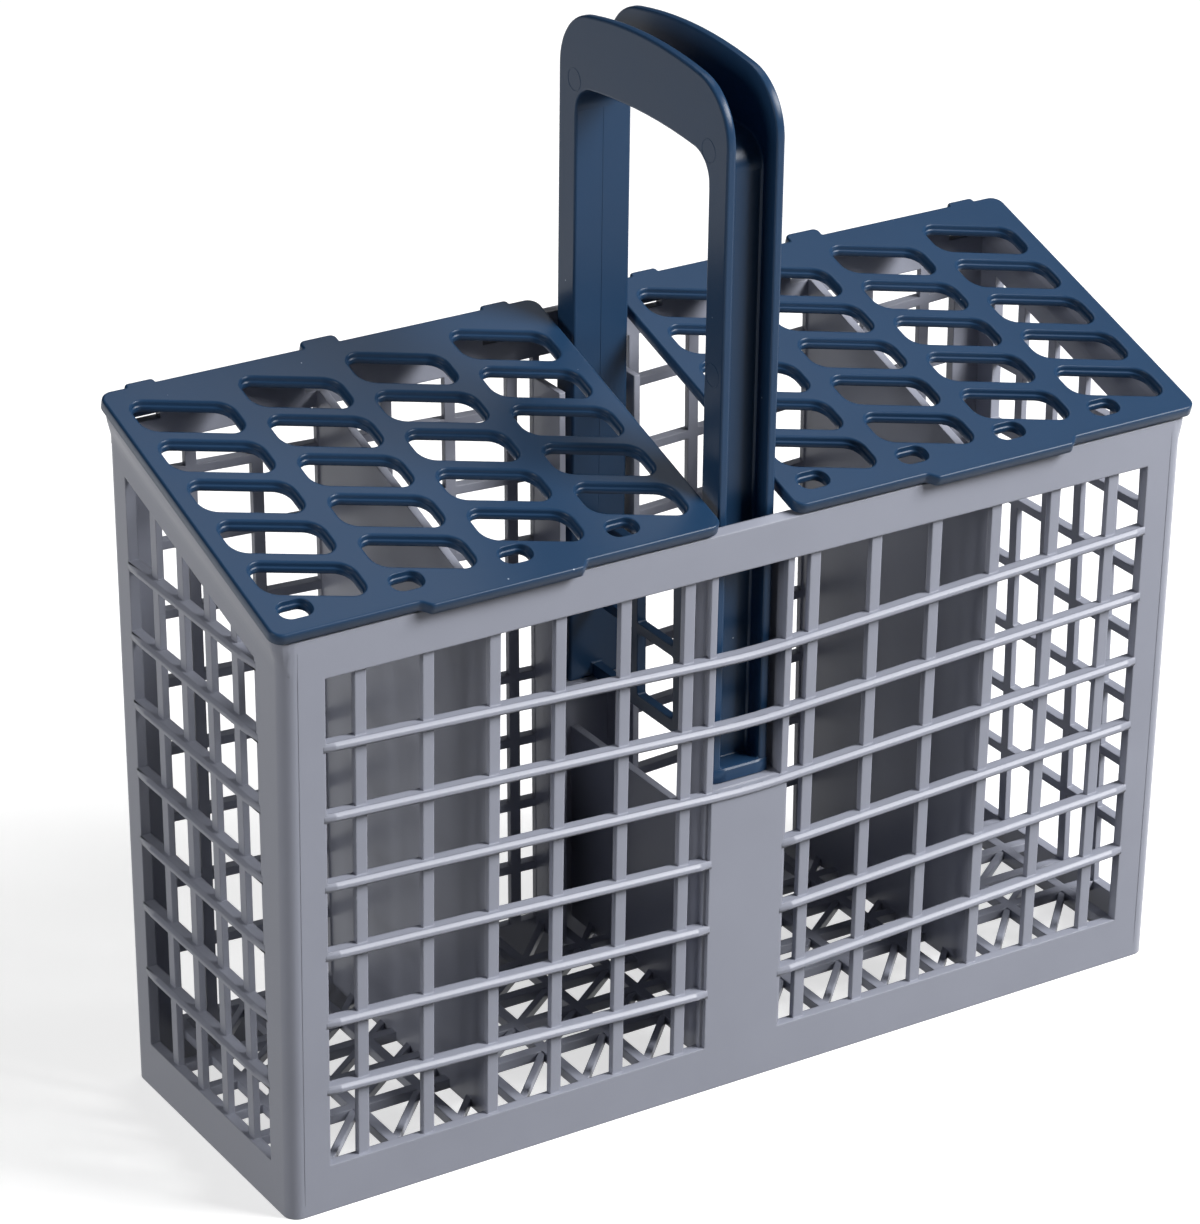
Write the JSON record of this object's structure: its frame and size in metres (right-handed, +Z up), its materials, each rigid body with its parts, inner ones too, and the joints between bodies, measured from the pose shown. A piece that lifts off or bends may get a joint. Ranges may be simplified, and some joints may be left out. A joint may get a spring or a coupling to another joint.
{
  "type": "dishwasher cutlery basket",
  "caption": "Open grid cutlery basket for a dishwasher, with divided compartments, slotted sloping lids hinged at the back and a carrying handle.",
  "frame": {"origin": "on the table, under the middle of the whole basket with its lids closed", "axes": "+X to the right along the basket, +Y to the back where the lids hinge, +Z up"},
  "size_m": [0.2466, 0.0888, 0.2522],
  "materials": {
    "grey_plastic": "moulded, satin",
    "navy_plastic": "moulded, satin"
  },
  "bodies": {
    "basket": {"basket_body": "grey_plastic", "handle": "navy_plastic"},
    "left_lid": {"left_lid": "navy_plastic"},
    "right_lid": {"right_lid": "navy_plastic"}
  },
  "joints": [
    {"name": "left_lid_hinge", "type": "hinge", "parent": "basket", "child": "left_lid", "pos_m": [-0.06655, 0.04038, 0.1715], "axis": [-1, 0, 0], "range_deg": [0, 110]},
    {"name": "right_lid_hinge", "type": "hinge", "parent": "basket", "child": "right_lid", "pos_m": [0.06655, 0.04038, 0.1715], "axis": [-1, 0, 0], "range_deg": [0, 110]}
  ]
}
